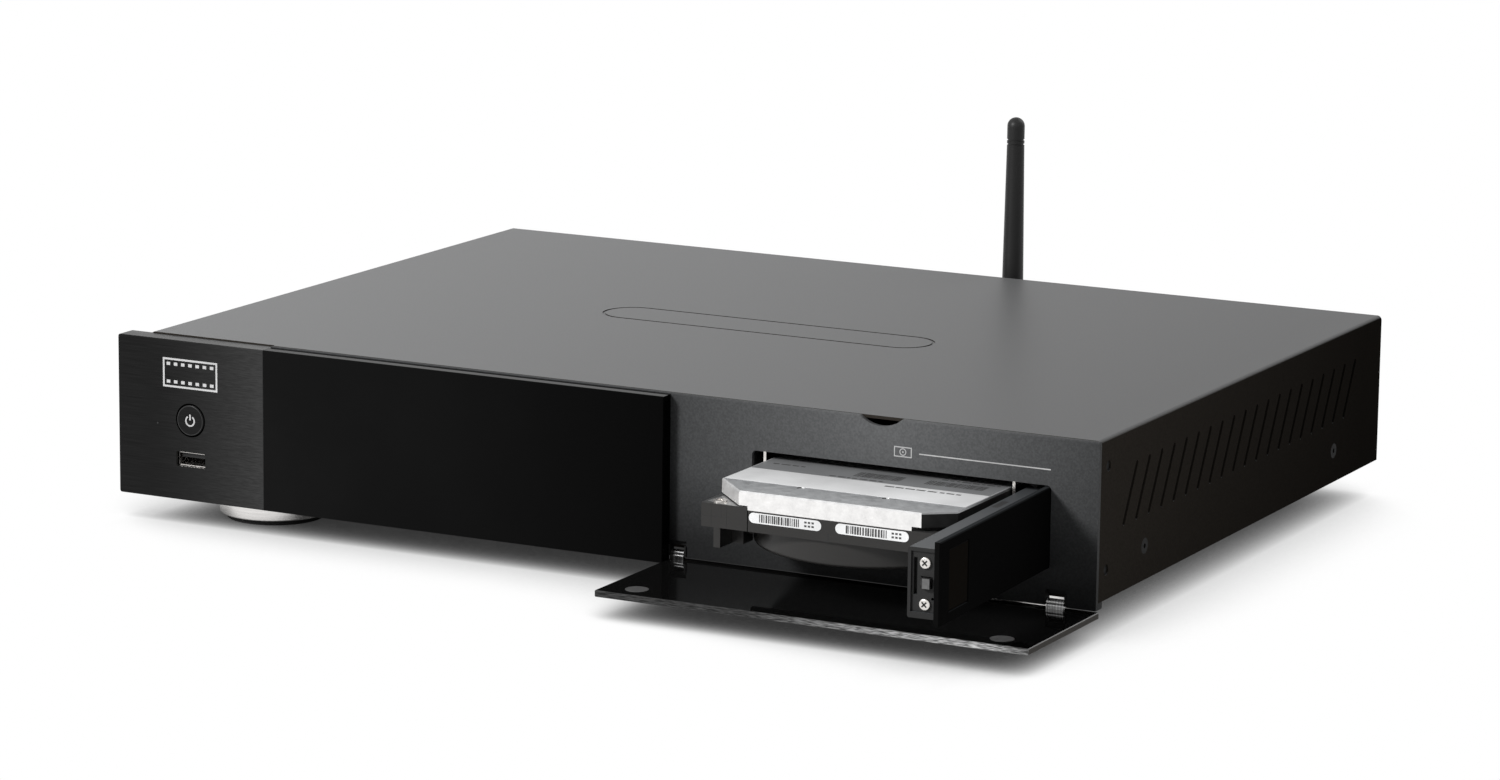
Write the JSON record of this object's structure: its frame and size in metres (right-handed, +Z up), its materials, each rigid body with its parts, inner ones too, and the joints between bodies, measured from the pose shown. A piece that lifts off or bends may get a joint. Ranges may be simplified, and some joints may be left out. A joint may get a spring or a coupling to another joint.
{
  "type": "media player with hard drive rack",
  "caption": "Low wide media player with a glossy display, a flap that folds down, and a side-hinged rack door with a hard drive drawn part way out.",
  "frame": {"origin": "centre of the whole box in plan, on the surface the feet stand on", "axes": "+X to the right seen from the front, +Y from the front to the back, +Z up"},
  "size_m": [0.43, 0.4206, 0.1436],
  "materials": {
    "case_steel": "satin powder coat",
    "inner_steel": "satin",
    "face_aluminium": "brushed, anodised dark",
    "gloss_panel": "gloss",
    "display_unit": "gloss",
    "board_green": "satin",
    "shell_steel": "bright",
    "black_plastic": "satin",
    "button_metal": "brushed",
    "screw_steel": "bright",
    "dark_screw": "satin",
    "ear_aluminium": "bright",
    "magnet": "satin",
    "rack_plastic": "satin",
    "rubber": "matte",
    "door_metal": "satin",
    "casting": "black coated casting",
    "drive_lid": "satin",
    "label_paper": "matte",
    "heatsink": "satin",
    "brass": "bright",
    "antenna_rubber": "satin",
    "foot_metal": "turned",
    "lead_jacket": "matte"
  },
  "bodies": {
    "case": {"base_tray": "case_steel", "top_cover": "case_steel", "rear_panel": "case_steel", "front_frame": "case_steel", "faceplate": "face_aluminium", "display_window": "gloss_panel", "display_module": "display_unit", "front_board": "board_green", "front_standoffs": "brass", "front_usb_shell": "shell_steel", "front_usb_tongue": "black_plastic", "power_switch": "black_plastic", "cover_screws": "dark_screw", "frame_screws": "dark_screw", "hinge_brackets": "dark_screw", "flap_pins": "screw_steel", "catch_magnets": "magnet", "rack_housing": "rack_plastic", "rack_brackets": "inner_steel", "rack_isolators": "rubber", "isolator_screws": "screw_steel", "ground_springs": "shell_steel", "door_pin": "screw_steel", "backplane_board": "board_green", "drive_socket": "black_plastic", "main_board": "board_green", "main_heatsink": "heatsink", "board_standoffs": "brass", "board_screws": "screw_steel", "supply_board": "board_green", "supply_parts": "black_plastic", "hdmi_port": "shell_steel", "network_port": "shell_steel", "usb_ports": "shell_steel", "audio_ports": "brass", "mains_inlet": "black_plastic", "antenna_socket": "brass", "foot_discs": "foot_metal", "foot_pads": "rubber", "foot_screws": "screw_steel", "internal_leads": "lead_jacket"},
    "flap": {"flap_panel": "gloss_panel", "flap_ears": "ear_aluminium", "flap_magnets": "magnet"},
    "rack_door": {"door_cover": "door_metal", "door_shell": "rack_plastic", "door_end_plate": "rack_plastic", "door_screws": "screw_steel"},
    "latch": {"latch_bolt": "ear_aluminium"},
    "release": {"release_plate": "door_metal"},
    "drive": {"drive_base": "casting", "drive_cover": "drive_lid", "drive_labels": "label_paper", "drive_screw": "screw_steel", "drive_board": "board_green"},
    "button": {"power_button": "button_metal"},
    "antenna_knuckle": {"antenna_base": "antenna_rubber", "antenna_pin": "screw_steel"},
    "antenna_rod": {"antenna_whip": "antenna_rubber"}
  },
  "joints": [
    {"name": "flap_hinge", "type": "hinge", "parent": "case", "child": "flap", "pos_m": [0.1255, -0.10504, 0.0132], "axis": [-1, 0, 0], "range_deg": [0, 13.5]},
    {"name": "rack_door_hinge", "type": "hinge", "parent": "case", "child": "rack_door", "pos_m": [0.1855, -0.09504, 0.0413], "axis": [0, 0, -1], "range_deg": [0, 3.5]},
    {"name": "drive_slide", "type": "slide", "parent": "case", "child": "drive", "axis": [0, 1, 0], "range_m": [-0.1, 0.065]},
    {"name": "power_button_press", "type": "slide", "parent": "case", "child": "button", "axis": [0, 1, 0], "range_m": [0, 0.0008], "stiffness_N_per_m": 300},
    {"name": "release_press", "type": "slide", "parent": "rack_door", "child": "release", "axis": [-0.9994, -0.0349, 0], "range_m": [0, 0.001], "stiffness_N_per_m": 400},
    {"name": "latch_bolt_slide", "type": "slide", "parent": "rack_door", "child": "latch", "axis": [-0.0349, 0.9994, 0], "range_m": [0, 0.002]},
    {"name": "antenna_swivel", "type": "hinge", "parent": "case", "child": "antenna_knuckle", "pos_m": [0.038, 0.19336, 0.0549], "axis": [0, 1, 0], "range_deg": [-90, 90]},
    {"name": "antenna_tilt", "type": "hinge", "parent": "antenna_knuckle", "child": "antenna_rod", "pos_m": [0.038, 0.20536, 0.0549], "axis": [-1, 0, 0], "range_deg": [0, 90]}
  ],
  "couplings": [
    {"joint": "latch_bolt_slide", "follows": "release_press", "ratio": 2}
  ]
}
